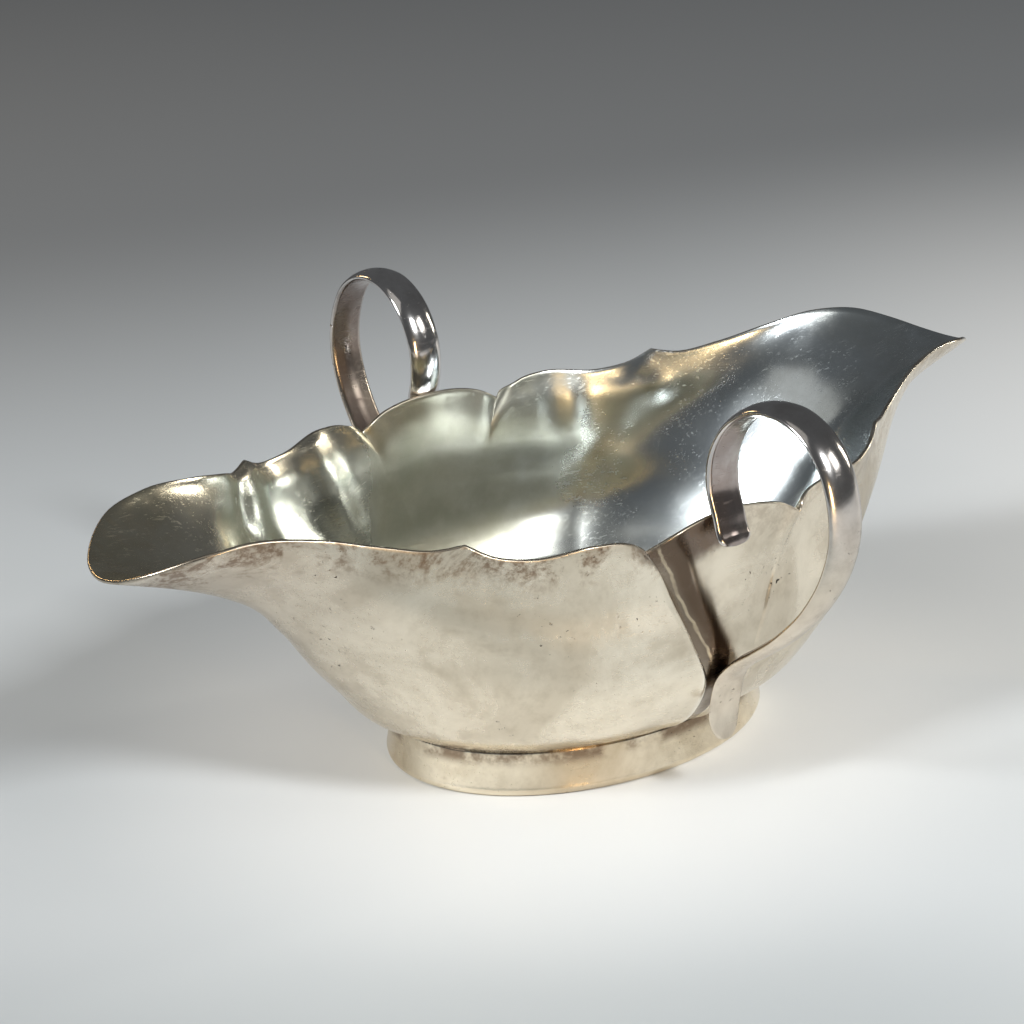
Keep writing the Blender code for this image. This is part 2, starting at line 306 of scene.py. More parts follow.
def row_normals(rows):
    """Unit vectors square to the surface, outward on rows that go up and clockwise."""
    around = np.roll(rows, -1, axis=1) - np.roll(rows, 1, axis=1)
    upward = np.gradient(rows, axis=0)
    normals = np.cross(upward, around)
    return normals / np.linalg.norm(normals, axis=2, keepdims=True)


# Dents in the sheet: centre, radius along X, radius along Z, depth outward.
DENTS = [
    ((25.5, 39.0, 46.0), 1.6, 5.0, 0.28),
    ((30.0, 37.6, 46.5), 1.5, 6.5, -0.30),
    ((34.0, 35.5, 43.5), 2.4, 4.5, 0.24),
    ((36.5, 33.5, 34.0), 3.0, 3.5, -0.26),
    ((41.5, 33.0, 49.5), 2.6, 1.6, 0.35),
    ((45.5, 30.0, 47.0), 2.2, 2.6, -0.30),
    ((22.0, 36.0, 22.0), 4.0, 1.6, -0.16),
    ((-30.0, -38.5, 40.0), 9.0, 5.0, -0.10),
    ((10.0, -43.0, 38.0), 3.0, 6.0, -0.16),
    ((-52.0, 26.5, 50.0), 2.0, 9.0, 0.55),
]
HAMMER_WAVES = [(11.0, 0.022), (26.0, 0.05)]   # size of the blows, height of the waves

# Upright ribs inside the far left shoulder: X at RIB_TOP_Z, lean, half width, height inward.
RIBS = [(-49.0, 0.20, 4.0, 0.9), (-29.5, 0.40, 4.0, 0.9)]
RIB_TOP_Z = 50
RIB_START_Z = (22, 36)


def ribs(rows):
    """How far the ribs stand inward on the inner face, as a negative lift."""
    x, y, z = rows[:, :, 0], rows[:, :, 1], rows[:, :, 2]
    lift = np.zeros(rows.shape[:2])
    for middle, lean, half_width, height in RIBS:
        lift -= height * np.exp(-((x - middle - lean * (RIB_TOP_Z - z)) / half_width) ** 2)
    return lift * smoothstep(*RIB_START_Z, z) * (y > 0)


def unevenness(rows):
    """How far outward the hand-raised sheet stands from the true surface, at each point."""
    lift = np.zeros(rows.shape[:2])
    for size, depth in HAMMER_WAVES:
        for index in np.ndindex(lift.shape):
            lift[index] += depth * noise.noise(Vector(rows[index] / size))
    for (x, y, z), reach_x, reach_z, depth in DENTS:
        same_side = rows[:, :, 1] * y > 0
        fall = ((rows[:, :, 0] - x) / reach_x) ** 2 + ((rows[:, :, 2] - z) / reach_z) ** 2
        lift += depth * np.exp(-fall) * same_side
    return lift


def bowl_bottom(wall_row, wall_slope):
    """Rows that sweep in one soft curve from the middle of the floor up into the wall."""
    middle = np.array([0, 0, FLOOR_MIDDLE_Z + SHEET])
    span = wall_row - middle
    reach = np.linalg.norm(span, axis=1, keepdims=True)
    level = span * (1, 1, 0)
    start = level / np.linalg.norm(level, axis=1, keepdims=True) * reach * BOTTOM_FLATNESS
    end = wall_slope / wall_slope[:, 2:] * span[:, 2:] * BOTTOM_FULLNESS
    rows = []
    for t in np.linspace(0, 1, BOTTOM_ROWS + 2)[1:-1]:
        rows.append((2 * t**3 - 3 * t**2 + 1) * middle + (t**3 - 2 * t**2 + t) * start
                    + (3 * t**2 - 2 * t**3) * wall_row + (t**3 - t**2) * end)
    return np.array(rows)


def shell_rows():
    """Outer rows and inner rows, each from the floor's middle to the rim, with their heights."""
    wall_heights = np.linspace(0, 1, WALL_ROWS + 1)
    wall = hand_work(all_round(False), wall_heights)
    outer = np.concatenate([floor_rows(wall[0]), wall])
    outer = outer + row_normals(outer) * unevenness(outer)[:, :, None]
    heights = wall_heights[-1 - INNER_WALL_ROWS:]
    smooth = hand_work(all_round(True), heights)
    thin = smoothstep(1 - RIM_THINNING_SHARE, 1, heights)[:, None, None]
    inner = smooth - (SHEET + (RIM_SHEET - SHEET) * thin) * row_normals(smooth)
    inner += row_normals(inner) * (unevenness(inner) + ribs(inner))[:, :, None]
    rim_join = smoothstep(1 - RIM_JOIN_SHARE, 1, heights)[:, None, None]
    from_outer = outer[-len(inner):] - RIM_SHEET * row_normals(wall)[-len(inner):]
    inner = inner + (from_outer - inner) * rim_join
    inner = np.concatenate([bowl_bottom(inner[0], inner[1] - inner[0]), inner])
    outer_heights = np.concatenate([np.zeros(FLOOR_ROWS), wall_heights])
    inner_heights = np.concatenate([np.zeros(BOTTOM_ROWS), heights])
    return outer, inner, outer_heights, inner_heights


def rounded_edge(outer, inner):
    """Rows over the rim from the outside to the inside, as a half round."""
    middle = (outer[-1] + inner[-1]) / 2
    half = (outer[-1] - inner[-1]) / 2
    up = outer[-1] - outer[-2]
    up *= np.linalg.norm(half, axis=1, keepdims=True) / np.linalg.norm(up, axis=1, keepdims=True)
    rows = []
    for step in range(1, RIM_EDGE_STEPS):
        angle = math.pi * step / RIM_EDGE_STEPS
        rows.append(middle + half * math.cos(angle) + up * math.sin(angle) * RIM_EDGE_FULLNESS)
    return rows


def clean_mesh(mesh, join_doubles=False):
    """Smooth shading and outward normals, after joining points that lie on each other."""
    work = bmesh.new()
    work.from_mesh(mesh)
    if join_doubles:
        bmesh.ops.remove_doubles(work, verts=work.verts, dist=1e-6)
    bmesh.ops.recalc_face_normals(work, faces=work.faces)
    work.to_mesh(mesh)
    work.free()
    mesh.shade_smooth()


def grid_mesh(name, rows, closed_ends):
    """A mesh over rows of points that run round the boat; the end rows close on their middle."""
    rows = np.asarray(rows)
    count = rows.shape[1]
    points = rows.reshape(-1, 3)
    faces = []
    for r in range(len(rows) - 1):
        for c in range(count):
            d = (c + 1) % count
            faces.append((r * count + d, r * count + c, (r + 1) * count + c, (r + 1) * count + d))
    if closed_ends:
        first, last = len(points), len(points) + 1
        points = np.vstack([points, rows[0].mean(axis=0), rows[-1].mean(axis=0)])
        base = (len(rows) - 1) * count
        for c in range(count):
            d = (c + 1) % count
            faces.append((c, d, first))
            faces.append((base + d, base + c, last))
    mesh = bpy.data.meshes.new(name)
    mesh.from_pydata([tuple(p * MM) for p in points], [], faces)
    mesh.validate()
    clean_mesh(mesh)
    return mesh


def add_attribute(mesh, name, values):
    """A number for each point, for the shaders; points past the last value get 0."""
    attribute = mesh.attributes.new(name, "FLOAT", "POINT")
    padded = np.zeros(len(mesh.vertices), np.float32)
    padded[:len(values)] = values
    attribute.data.foreach_set("value", padded)


def add_piece(name, mesh, material, replaced):
    piece = bpy.data.objects.new(name, mesh)
    bpy.context.scene.collection.objects.link(piece)
    mesh.materials.append(material)
    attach(piece, "root")
    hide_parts(replaced)


def beside_creases(rows, steps):
    """For each crease: its strength, the columns these steps onto its panel, how far they lie."""
    count = rows.shape[1]
    half = count // 2
    places = [(PANEL_COLUMNS, -1), (half - PANEL_COLUMNS, 1),
              (half + PANEL_COLUMNS, -1), (count - PANEL_COLUMNS, 1)]
    for (column, to_panel), strength in zip(places, CREASE_STAIN_AND_SHADE):
        columns = (column + to_panel * steps) % count
        away = np.linalg.norm(rows[:, columns] - rows[:, column:column + 1], axis=2)
        yield strength, columns, away


def crease_bands(rows):
    """1 on the sunken band beside each crease, 0 elsewhere, weaker where the crease is shallow;
    the band's dark colour is tarnish with painted shade.
    """
    band = np.zeros(rows.shape[:2])
    for strength, columns, away in beside_creases(rows, np.arange(-2, PANEL_COLUMNS)):
        away[:, :2] *= 2.5   # the two columns on the shoulder's side fade sooner
        band[:, columns] = strength * (1 - smoothstep(1.2, 1.5, away / CREASE_PANEL_REACH))
    return band


def painted_edge_highlights(rows):
    """1 on the painted highlight along the bead at the shoulder's side of each crease."""
    bright = np.zeros(rows.shape[:2])
    for strength, columns, away in beside_creases(rows, -np.arange(BEAD_COLUMNS)):
        bright[:, columns] = strength * np.exp(-((away - BEAD_PLACE) / BEAD_SHINE) ** 2)
    return bright


def crease_distances(rows):
    """How far each point of the near left band lies from its crease."""
    column = rows.shape[1] // 2 + PANEL_COLUMNS
    columns = column - np.arange(0, PANEL_COLUMNS)
    away = np.full(rows.shape[:2], FAR_FROM_CREASE)
    away[:, columns] = np.linalg.norm(rows[:, columns] - rows[:, column:column + 1], axis=2)
    return away


def make_bowl(material):
    outer, inner, outer_heights, inner_heights = shell_rows()
    edge = rounded_edge(outer, inner)
    rows = np.array(list(outer) + edge + list(inner[::-1]))
    mesh = grid_mesh("raised_bowl", rows, True)
    sizes = len(outer), len(edge), len(inner)
    height = np.concatenate([outer_heights, np.ones(len(edge)), inner_heights[::-1]])
    inside = np.repeat([0.0, 0.5, 1.0], sizes)
    rim = np.repeat([0.0, 1.0, 0.0], sizes)
    outside = (inside == 0)[:, None]
    distances = np.where(outside, crease_distances(rows), FAR_FROM_CREASE)
    fields = {
        "height": height[:, None],
        "inside": inside[:, None],
        "fold": crease_bands(rows) * outside,
        # painted highlight along the crease beads
        "painted_edge_highlight": painted_edge_highlights(rows) * outside,
        "crease_distance": distances,
        # mask of the painted reflection of the near strap, on the panel beside the near left
        # crease
        "beside": 1 - smoothstep(6.5, 9.5, distances),
        "rim": rim[:, None],
    }
    for name, values in fields.items():
        add_attribute(mesh, name, np.broadcast_to(values, rows.shape[:2]).ravel())
    add_piece("raised_bowl", mesh, material, "bowl")


# ---------------------------------------------------------------- foot
def make_foot(material):
    outside = along([(a, b, 0) for a, b in FOOT_OUTSIDE], np.linspace(0, 1, FOOT_OUTER_ROWS))
    inside = along([(a, b, 0) for a, b in FOOT_INSIDE], np.linspace(0, 1, FOOT_INNER_ROWS))
    angle = 2 * math.pi * np.arange(FOOT_COLUMNS) / FOOT_COLUMNS
    rows = []
    for inward, height, _ in np.vstack([outside, inside]):
        rows.append(np.stack([(FOOT_HALF_LENGTH - inward) * np.sin(angle),
                              (FOOT_HALF_WIDTH - inward) * np.cos(angle),
                              np.full(FOOT_COLUMNS, height)], axis=-1))
    rows = np.array(rows)
    for index in np.ndindex(rows.shape[:2]):
        wave = noise.noise(Vector(rows[index] / FOOT_WAVE_SIZE))
        rows[index][:2] *= 1 + FOOT_WAVE_SHARE * wave
    mesh = grid_mesh("foot_collet", np.concatenate([rows, rows[:1]]), False)
    clean_mesh(mesh, join_doubles=True)
    heights = np.array([v.co.z / MM for v in mesh.vertices])
    add_attribute(mesh, "joint", smoothstep(*SOLDER_Z, heights))
    add_piece("foot_collet", mesh, material, "foot_ring")


# ---------------------------------------------------------------- handles
STRAP_SECTION = [   # share across, share outward, and 1 where the point is on the inner face
    (-0.72, -0.34, 1), (-0.36, -0.50, 1), (0.0, -0.56, 1), (0.36, -0.50, 1), (0.72, -0.34, 1),
    (0.80, -0.33, 0.8), (0.95, -0.20, 0.3), (1.0, -0.08, 0), (0.985, 0.06, 0), (0.90, 0.20, 0),
    (0.62, 0.42, 0), (0.32, 0.54, 0), (0, 0.58, 0), (-0.32, 0.54, 0), (-0.62, 0.42, 0),
    (-0.90, 0.20, 0), (-0.985, 0.06, 0), (-1.0, -0.08, 0), (-0.95, -0.20, 0.3),
    (-0.80, -0.33, 0.8),
]


UPPER_SQUARENESS, LEAF_SQUARENESS = 1.9, 0.55
END_OVAL = 2.2


def round_end(distance, width, squareness):
    """Share of the strap's width at this distance from an end."""
    reach = min(1.0, distance / (width / 2 / squareness))
    return 0.10 + 0.90 * (1 - (1 - reach) ** END_OVAL) ** (1 / END_OVAL)


def handle_shares():
    """Places along the strap, closer together towards both ends."""
    even = np.linspace(0, 1, HANDLE_ROWS)
    return even - END_CROWDING * np.sin(2 * math.pi * even) / (2 * math.pi)


def make_handle(name, side, lean, raised, material, replaced):
    """A bent strap; side is the side of the boat, lean and raised shift its upper end."""
    line = along(HANDLE_LINE, handle_shares())
    tangents = np.gradient(line, axis=0)
    tangents /= np.linalg.norm(tangents, axis=1, keepdims=True)
    steps = np.linalg.norm(np.diff(line, axis=0), axis=1)
    run = np.concatenate([[0], np.cumsum(steps)])
    rows = []
    for (across_y, height), (ty, tz), done in zip(line, tangents, run):
        share = done / run[-1]
        leaf = 0.0
        if share > 0.5:
            leaf = (LEAF_START_Z - height) / (LEAF_START_Z - LEAF_FULL_Z)
            leaf = min(1.0, max(0.0, leaf))
        width = STRAP_WIDTH + (LEAF_WIDTH - STRAP_WIDTH) * leaf
        thickness = STRAP_THICKNESS + (LEAF_THICKNESS - STRAP_THICKNESS) * leaf
        width *= (round_end(done, width, UPPER_SQUARENESS)
                  * round_end(run[-1] - done, width, LEAF_SQUARENESS))
        thickness *= 0.2 + 0.8 * math.sqrt(min(1.0, done / TIP_TAPER))
        wave = noise.noise(Vector((done / STRAP_WAVE_SIZE, side * 7.0, 0)))
        leaning = lean * (1 - smoothstep(0.12, 0.45, share))
        shifted = NEAR_LEAF_SHIFT * leaf * (side < 0)
        lifted = raised * (1 - smoothstep(0.0, 0.14, share))
        row = []
        for across, outward, _ in STRAP_SECTION:
            dish = LEAF_DISH * leaf * (1 - across**2) * (outward > 0)
            out = (outward - dish) * thickness + STRAP_WAVE_HEIGHT * wave
            row.append((across * width / 2 + leaning - shifted, side * (across_y - tz * out),
                        height + ty * out + lifted))
        rows.append(row)
    mesh = grid_mesh(name, rows, True)
    under = np.tile([point[2] for point in STRAP_SECTION], HANDLE_ROWS)
    add_attribute(mesh, "underside", under)
    low = np.repeat(smoothstep(0.42, 0.62, run / run[-1]), len(STRAP_SECTION))
    add_attribute(mesh, "low", low)
    add_piece(name, mesh, material, replaced)


# ---------------------------------------------------------------- materials
class Tree:
    """A short way to write shader nodes; a number, colour or socket can feed any input."""

    def __init__(self, name):
        self.material = bpy.data.materials.new(name)
        self.material.use_nodes = True
        self.tree = self.material.node_tree
        self.shader = self.tree.nodes["Principled BSDF"]
        self.coords = self.tree.nodes.new("ShaderNodeTexCoord").outputs["Object"]

    def feed(self, socket, value):
        if isinstance(value, bpy.types.NodeSocket):
            self.tree.links.new(value, socket)
        else:
            socket.default_value = value

    def attribute(self, name):
        node = self.tree.nodes.new("ShaderNodeAttribute")
        node.attribute_name = name
        return node.outputs["Fac"]

    def stretched(self, scale, turn=(0, 0, 0)):
        node = self.tree.nodes.new("ShaderNodeMapping")
        self.feed(node.inputs["Vector"], self.coords)
        node.inputs["Rotation"].default_value = turn
        node.inputs["Scale"].default_value = scale
        return node.outputs["Vector"]

    def noise(self, size_mm, detail=4.0, roughness=0.55, distortion=0.0, vector=None):
        node = self.tree.nodes.new("ShaderNodeTexNoise")
        self.feed(node.inputs["Vector"], vector or self.coords)
        node.inputs["Scale"].default_value = 1 / (size_mm * MM) if vector is None else 1.0
        node.inputs["Detail"].default_value = detail
        node.inputs["Roughness"].default_value = roughness
        node.inputs["Distortion"].default_value = distortion
        return node.outputs["Fac"]

    def place(self):
        """The point's X, Y and Z in metres."""
        node = self.tree.nodes.new("ShaderNodeSeparateXYZ")
        self.feed(node.inputs[0], self.coords)
        return node.outputs["X"], node.outputs["Y"], node.outputs["Z"]

    def math(self, operation, a, b=0.0, clamp=False):
        node = self.tree.nodes.new("ShaderNodeMath")
        node.operation = operation
        node.use_clamp = clamp
        self.feed(node.inputs[0], a)
        self.feed(node.inputs[1], b)
        return node.outputs[0]

    def times(self, first, *others):
        for other in others:
            first = self.math("MULTIPLY", first, other)
        return first

    def plus(self, first, *others):
        for other in others:
            first = self.math("ADD", first, other)
        return first

    def distance(self, a, b):
        """Length of a step with these two sides."""
        square = self.plus(self.times(a, a), self.times(b, b))
        return self.math("POWER", square, 0.5)

    def ramp(self, value, low, high, out_low=0.0, out_high=1.0):
        """out_low where the value is at low, out_high at high, with soft ends."""
        node = self.tree.nodes.new("ShaderNodeMapRange")
        node.interpolation_type = "SMOOTHSTEP"
        self.feed(node.inputs["Value"], value)
        for name, number in (("From Min", low), ("From Max", high),
                             ("To Min", out_low), ("To Max", out_high)):
            node.inputs[name].default_value = number
        return node.outputs["Result"]

    def mix(self, share, a, b):
        node = self.tree.nodes.new("ShaderNodeMix")
        node.data_type = "RGBA"
        self.feed(node.inputs["Factor"], share)
        self.feed(node.inputs["A"], a if not isinstance(a, tuple) else (*a, 1))
        self.feed(node.inputs["B"], b if not isinstance(b, tuple) else (*b, 1))
        return node.outputs["Result"]

    def bump(self, height, depth_mm, normal=None):
        node = self.tree.nodes.new("ShaderNodeBump")
        node.inputs["Distance"].default_value = depth_mm * MM
        self.feed(node.inputs["Height"], height)
        if normal is not None:
            self.feed(node.inputs["Normal"], normal)
        return node.outputs["Normal"]


SCRATCH_SETS = [   # turn of the scratches, spacing across and length in mm, bend
    ((0.0, 0.35, 0.2), 0.5, 26.0, 0.4),
    ((0.4, -0.6, 1.0), 0.7, 26.0, 0.4),
    ((-0.3, 1.2, -0.5), 0.9, 20.0, 0.8),
    ((0.8, 0.5, -0.9), 0.4, 22.0, 1.2),
]
PIT_COLOUR = (0.035, 0.027, 0.02)
SOLDER_COLOUR = (0.13, 0.088, 0.065)
GRIME_COLOUR = (0.16, 0.10, 0.06)
# dark brown of the crease band: tarnish with painted shade
BAND_COLOUR = (0.12, 0.083, 0.056)
RIM_STAIN_COLOUR = (0.22, 0.145, 0.09)
UNDERSIDE_COLOUR = (0.23, 0.175, 0.155)
# colour of the paler wavy line in the crease band
PALER_LINE_COLOUR = (0.66, 0.56, 0.40)
# colour of the painted highlight along the crease bead
EDGE_HIGHLIGHT_COLOUR = (0.97, 0.93, 0.84)
FOOT_PATCH = (0.017, 0.026)            # the brown patch on the foot's front, towards -X and -Y
STAIN_MIDDLE = (-0.008, 0.0495)        # X and Z of the heat stain on the near panel
STAIN_HALF_SIZE = (0.011, 0.0050)


def scratches(t):
    """Sparse fine lines in a few directions, 0 to 1."""
    total = 0.0
    for turn, spacing, length, bend in SCRATCH_SETS:
        long_way = 1 / (length * MM)
        across = 1 / (spacing * MM)
        streaks = t.noise(0, 2.0, 0.5, bend, t.stretched((long_way, across, across), turn))
        total = t.plus(total, t.ramp(streaks, 0.63, 0.73))
    return t.math("MULTIPLY", total, t.ramp(t.noise(15.0), 0.38, 0.62), clamp=True)


def pits(t, size_mm, sparse_from):
    """Small dark ragged pits in loose groups, 0 to 1."""
    group = t.ramp(t.noise(12.0, 3.0), sparse_from, sparse_from + 0.08)
    dots = t.ramp(t.noise(size_mm, 3.0, 0.6, 0.6), 0.66, 0.71)
    return t.math("MULTIPLY", dots, group, clamp=True)


def finish_silver(t, colour, rough, lines, holes):
    """Joins a colour and roughness to metal with soft waves, fine grain, scratches and pits."""
    rough = t.plus(rough, t.times(lines, 0.12))
    t.feed(t.shader.inputs["Base Color"], t.mix(holes, colour, PIT_COLOUR))
    t.feed(t.shader.inputs["Roughness"], t.plus(rough, t.times(holes, 0.3)))
    t.shader.inputs["Metallic"].default_value = 1.0
    normal = t.bump(t.noise(6.0, 2.0), 0.015)
    normal = t.bump(t.noise(0.7, 3.0), 0.0026, normal)
    normal = t.bump(t.times(lines, -1.0), 0.0045, normal)
    normal = t.bump(t.times(holes, -1.0), 0.05, normal)
    t.feed(t.shader.inputs["Normal"], normal)
    return t.material


def tarnish_cloud(t):
    cloud = t.ramp(t.noise(22.0, 6.0, 0.6, 0.8), 0.36, 0.68)
    speckle = t.ramp(t.noise(3.0, 5.0, 0.65), 0.40, 0.75)
    return t.plus(t.times(cloud, 0.7), t.times(speckle, 0.3))


def foot_silver():
    """Warm silver with grime under the bowl and one brown patch in front."""
    t = Tree("foot_worn_silver")
    tarnish = tarnish_cloud(t)
    colour = t.mix(tarnish, (0.88, 0.79, 0.63), (0.54, 0.45, 0.32))
    x, y, _ = t.place()
    apart = t.distance(t.plus(x, FOOT_PATCH[0]), t.plus(y, FOOT_PATCH[1]))
    apart = t.math("SUBTRACT", apart, t.times(t.noise(7.0, 5.0), 0.012))
    colour = t.mix(t.ramp(apart, 0.012, -0.002, 0.0, 0.6), colour, (0.42, 0.33, 0.22))
    grime = t.times(t.attribute("joint"), t.ramp(t.noise(8.0, 6.0, 0.65), 0.38, 0.56))
    colour = t.mix(t.times(grime, 0.85), colour, GRIME_COLOUR)
    rough = t.plus(0.17, t.times(tarnish, 0.12))
    return finish_silver(t, colour, rough, scratches(t), pits(t, 0.9, 0.52))


def handle_silver():
    """Polished outside, brown tarnish on the inner face, warmer towards the lower end."""
    t = Tree("handle_worn_silver")
    tarnish = tarnish_cloud(t)
    low = t.attribute("low")
    upper_colour = t.mix(tarnish, (0.75, 0.725, 0.71), (0.45, 0.42, 0.40))
    lower_colour = t.mix(tarnish, (0.72, 0.64, 0.53), (0.42, 0.355, 0.28))
    colour = t.mix(low, upper_colour, lower_colour)
    cloudy = t.ramp(t.noise(7.0), 0.25, 0.6, 0.40, 0.80)
    under = t.times(t.attribute("underside"), cloudy)
    colour = t.mix(under, colour, UNDERSIDE_COLOUR)
    rough = t.plus(t.times(tarnish, 0.10), t.times(low, 0.08))
    rough = t.plus(rough, 0.10, t.times(under, 0.14))
    return finish_silver(t, colour, rough, scratches(t), pits(t, 0.8, 0.50))


def terminal_stain(t, place):
    """Brown heat stain on the near panel, round the upper end of the handle; 0 to 1."""
    x, y, z = place
    across = t.math("DIVIDE", t.plus(x, -STAIN_MIDDLE[0]), STAIN_HALF_SIZE[0])
    down = t.math("DIVIDE", t.math("SUBTRACT", z, STAIN_MIDDLE[1]), STAIN_HALF_SIZE[1])
    reach = t.plus(t.times(across, across), t.times(down, down))
    reach = t.math("SUBTRACT", reach, t.noise(4.0, 5.0, 0.6))
    near_side = t.ramp(y, -0.030, -0.034)
    return t.times(t.ramp(reach, 0.7, -0.2, 0.0, 0.92), near_side)


def rim_tarnish(t, x, height, outside):
    """Ragged brown stain below the rim, strongest outside and to the left; 0 to 1."""
    near_rim = t.ramp(height, 0.80, 0.97)
    blotches = t.ramp(t.noise(9.0, 8.0, 0.72, 0.5), 0.44, 0.56)
    leftward = t.ramp(x, -0.002, -0.022, 0.35, 1.0)
    grains = t.ramp(t.noise(1.6, 5.0, 0.7), 0.38, 0.58, 0.35, 1.0)
    return t.times(near_rim, blotches, leftward, grains, t.plus(0.25, t.times(outside, 0.65)))


def dull_inside(t, x, height, inside):
    """The middle of the inside, where the shine has gone; 0 to 1."""
    return t.times(t.ramp(x, -0.021, -0.012), t.ramp(x, 0.044, 0.016), inside,
                   t.ramp(height, 0.06, 0.34))


def crease_colours(t, colour, height):
    """The dark band beside each crease, tarnish with painted shade, with a paler wavy line in it
    and a painted highlight on its edge.
    """
    across = t.attribute("crease_distance")
    band = t.times(t.attribute("fold"), t.ramp(t.noise(4.0), 0.2, 0.5, 0.86, 1.0),
                   t.ramp(across, 0.6, 3.4, 0.80, 1.0))
    # a paler wavy line along the crease band
    wave = t.times(t.noise(5.0, 2.0), 2.4)
    paler_line = t.math("ABSOLUTE", t.math("SUBTRACT", t.plus(across, wave), 2.9))
    paler_line = t.times(t.ramp(paler_line, 0.40, 0.10), t.ramp(height, 0.25, 0.45),
                     t.ramp(t.noise(6.0, 3.0), 0.36, 0.60, 0.25, 1.0))
    # tarnish and painted shade in the crease band
    colour = t.mix(band, colour, BAND_COLOUR)
    colour = t.mix(t.times(paler_line, 0.75), colour, PALER_LINE_COLOUR)
    # painted highlight along the bead at the crease's edge
    return t.mix(t.attribute("painted_edge_highlight"), colour, EDGE_HIGHLIGHT_COLOUR)


def bowl_silver():
    """One material for both sides: the warm outside and the cooler, shinier inside."""
    t = Tree("bowl_worn_silver")
    inside = t.ramp(t.attribute("inside"), 0.3, 0.7)
    outside = t.math("SUBTRACT", 1.0, inside)
    height = t.attribute("height")
    tarnish = tarnish_cloud(t)
    place = t.place()
    x = place[0]
    outside_colour = t.mix(tarnish, (0.83, 0.755, 0.62), (0.55, 0.48, 0.37))
    # left_inside is olive patina; the blue-grey of right_inside is a painted cool reflection of
    # the lights
    left_inside = t.mix(tarnish, (0.82, 0.77, 0.63), (0.58, 0.53, 0.38))
    right_inside = t.mix(tarnish, (0.74, 0.80, 0.83), (0.52, 0.56, 0.56))
    inside_colour = t.mix(t.ramp(x, -0.015, 0.045), left_inside, right_inside)
    colour = t.mix(inside, outside_colour, inside_colour)

    rim_stain = rim_tarnish(t, x, height, outside)
    haze = t.times(inside, t.ramp(t.noise(13.0, 4.0, 0.5, 0.5), 0.28, 0.72))
    # painted shade on the outside of the left lip, stronger towards its tip
    painted_spout_shade = t.times(outside, t.ramp(x, -0.045, -0.075, 0.0, 0.45))
    solder = t.times(outside, terminal_stain(t, place))
    dull = dull_inside(t, x, height, inside)
    dull_cloud = t.ramp(t.noise(10.0, 5.0), 0.30, 0.70, 0.30, 0.75)
    # painted reflection of the near strap: a faint darker patch on the panel beside the near left
    # crease
    beside = t.times(t.attribute("beside"), t.ramp(t.noise(6.0, 4.0), 0.3, 0.6, 0.0, 0.08))
    edge = t.times(t.attribute("rim"), t.ramp(t.noise(5.0), 0.35, 0.6, 0.3, 0.9))
    colour = t.mix(t.times(haze, 0.22), colour, (0.34, 0.33, 0.27))
    colour = t.mix(t.times(dull, dull_cloud), colour, (0.38, 0.37, 0.27))
    # painted shade on the outside of the left lip
    colour = t.mix(painted_spout_shade, colour, (0.36, 0.30, 0.25))
    colour = t.mix(solder, colour, SOLDER_COLOUR)
    # painted reflection of the near strap
    colour = t.mix(beside, colour, (0.36, 0.30, 0.27))
    colour = t.mix(rim_stain, colour, RIM_STAIN_COLOUR)
    colour = crease_colours(t, colour, height)
    colour = t.mix(edge, colour, (0.40, 0.34, 0.27))

    tarnish_blur = t.plus(t.times(outside, 0.04), 0.04)
    rough = t.plus(t.times(outside, 0.07), 0.165, t.times(tarnish, tarnish_blur),
                   t.times(rim_stain, 0.25), t.times(haze, 0.045), t.times(dull, 0.13))
    t.shader.inputs["Coat Weight"].default_value = 0.25
    t.shader.inputs["Coat Roughness"].default_value = 0.10
    return finish_silver(t, colour, rough, scratches(t), t.times(pits(t, 0.9, 0.55), outside))


# ---------------------------------------------------------------- studio
CAMERA_AZIMUTH, CAMERA_ELEVATION, CAMERA_ROLL = -36.33, 20.22, -2.24
CAMERA_DISTANCE, CAMERA_LENS = 0.4742, 93.5
AIM_SIDEWAYS, AIM_HEIGHT = -0.01027, 0.04083
TABLE_SIZE = 6.0
PAINTED_FALLOFF_TURN = math.radians(-36.0)   # the direction along which the painted light on the table falls off
# painted pool of light on the table round the boat: its radius and the soft widths outside and
# inside
LIGHT_POOL_RADIUS, LIGHT_POOL_SOFT_OUTSIDE, LIGHT_POOL_SOFT_INSIDE = 0.067, 0.034, 0.022
BLACK = (0.0, 0.0, 0.0)
# name, azimuth, elevation, distance, width, height, power, colour
LIGHTS = [
    ("front_softbox", 7, 40, 1.40, 0.16, 0.30, 10.8, (0.97, 0.99, 1.0)),
    ("left_softbox", -93, 36, 1.40, 0.26, 0.40, 9.6, (0.97, 0.99, 1.0)),
    ("right_softbox", 80, 17, 1.40, 0.10, 0.36, 2.6, (1.0, 0.95, 0.84)),
    ("right_panel", 36, 34, 1.40, 0.34, 0.36, 1.7, (1.0, 0.98, 0.94)),
    ("ceiling_panel", -70, 68, 1.40, 0.7, 0.9, 0.8, (1.0, 0.97, 0.91)),
    ("warm_lamp", -12, 11, 0.80, 0.03, 0.22, 1.0, (1.0, 0.70, 0.36)),
    ("warm_back_lamp", -165, 30, 1.10, 0.07, 0.26, 0.8, (1.0, 0.70, 0.36)),
]


def direction(azimuth, elevation):
    """Unit vector from the boat; azimuth 0 is towards -Y, 90 towards +X."""
    a, e = math.radians(azimuth), math.radians(elevation)
    return Vector((math.sin(a) * math.cos(e), -math.cos(a) * math.cos(e), math.sin(e)))


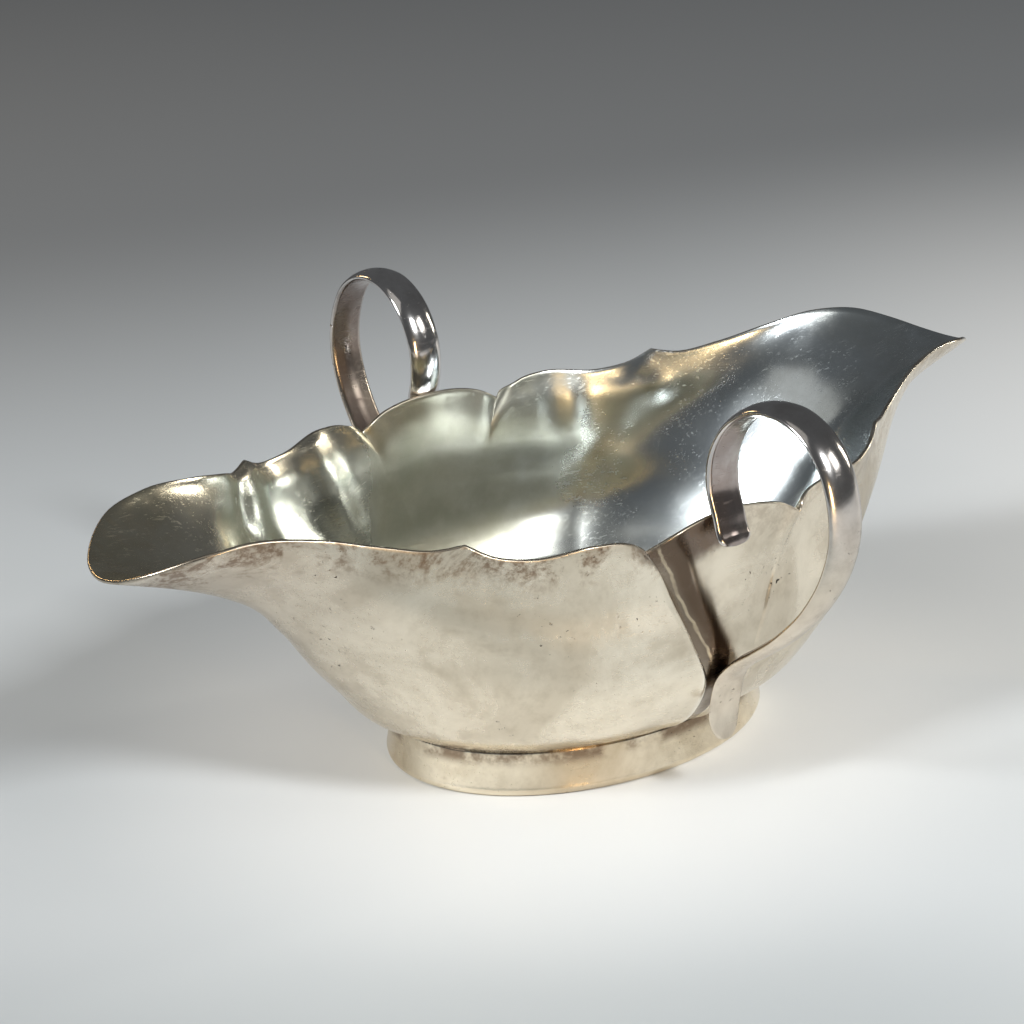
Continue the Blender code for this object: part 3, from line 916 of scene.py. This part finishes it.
def add_camera():
    camera = bpy.data.objects.new("camera", bpy.data.cameras.new("camera"))
    bpy.context.scene.collection.objects.link(camera)
    back = direction(CAMERA_AZIMUTH, CAMERA_ELEVATION)
    turn = math.radians(CAMERA_AZIMUTH)
    right = Vector((math.cos(turn), math.sin(turn), 0))
    aim = right * AIM_SIDEWAYS + Vector((0, 0, AIM_HEIGHT))
    camera.location = aim + back * CAMERA_DISTANCE
    camera.rotation_mode = "QUATERNION"
    level = (-back).to_track_quat("-Z", "Y")
    camera.rotation_quaternion = level @ Quaternion((0, 0, 1), math.radians(CAMERA_ROLL))
    camera.data.lens = CAMERA_LENS
    camera.data.clip_start = 0.01
    bpy.context.scene.camera = camera


def add_softbox(name, azimuth, elevation, distance, width, height, power, colour):
    """A flat light that faces the boat."""
    light = bpy.data.lights.new(name, "AREA")
    light.shape = "RECTANGLE"
    light.size, light.size_y = width, height
    light.energy = power
    light.color = colour
    box = bpy.data.objects.new(name, light)
    toward = direction(azimuth, elevation)
    box.location = toward * distance
    box.rotation_mode = "QUATERNION"
    box.rotation_quaternion = toward.to_track_quat("Z", "Y")
    bpy.context.scene.collection.objects.link(box)


def add_table():
    """A matt white sheet with painted light: a painted pool of light round the boat, painted shade
    to the front left and far off.
    """
    bpy.ops.mesh.primitive_plane_add(size=TABLE_SIZE, location=(0, 0, 0))
    table = bpy.context.object
    table.name = "table"
    t = Tree("table_white")
    x, y, _ = t.place()
    turn_cos, turn_sin = math.cos(PAINTED_FALLOFF_TURN), math.sin(PAINTED_FALLOFF_TURN)
    away = t.math("SUBTRACT", t.times(y, turn_cos), t.times(x, turn_sin))
    side = t.plus(t.times(x, turn_cos), t.times(y, turn_sin))
    # pale: the painted pool of light round the boat
    pale = t.ramp(t.distance(x, y), LIGHT_POOL_RADIUS + LIGHT_POOL_SOFT_OUTSIDE,
                  LIGHT_POOL_RADIUS - LIGHT_POOL_SOFT_INSIDE)
    # painted falloff of the light towards the front
    around = t.mix(t.ramp(away, -0.118, -0.064), (0.59, 0.63, 0.65), (0.76, 0.80, 0.825))
    # painted shade to the left, painted light to the right
    level = t.plus(t.ramp(side, -0.10, -0.03, 0.88, 0.98), t.ramp(side, 0.03, 0.12, 0.0, 0.24))
    near = t.mix(level, BLACK, around)
    # painted light to the right of the boat
    near = t.mix(t.ramp(side, 0.04, 0.14, 0.0, 0.85), near, (0.93, 0.945, 0.95))
    # painted pool of light round the boat
    near = t.mix(pale, near, (0.915, 0.94, 0.955))
    # painted falloff of the light far off
    far = t.ramp(t.math("SUBTRACT", away, t.times(side, 0.35)), 0.08, 0.46)
    t.feed(t.shader.inputs["Base Color"], t.mix(far, near, (0.270, 0.282, 0.296)))
    t.shader.inputs["Roughness"].default_value = 0.55
    table.data.materials.append(t.material)


def add_world():
    world = bpy.data.worlds.new("studio")
    bpy.context.scene.world = world
    world.use_nodes = True
    background = world.node_tree.nodes["Background"]
    background.inputs["Color"].default_value = (0.92, 0.96, 1.0, 1)
    background.inputs["Strength"].default_value = 0.10


make_bowl(bowl_silver())
make_foot(foot_silver())
strap_material = handle_silver()
make_handle("near_strap", -1, -1.4, 1.2, strap_material, "near_handle")
make_handle("far_strap", 1, 0.0, 0.0, strap_material, "far_handle")
bpy.context.scene.view_settings.view_transform = "Standard"
add_table()
add_world()
add_camera()
for light in LIGHTS:
    add_softbox(*light)
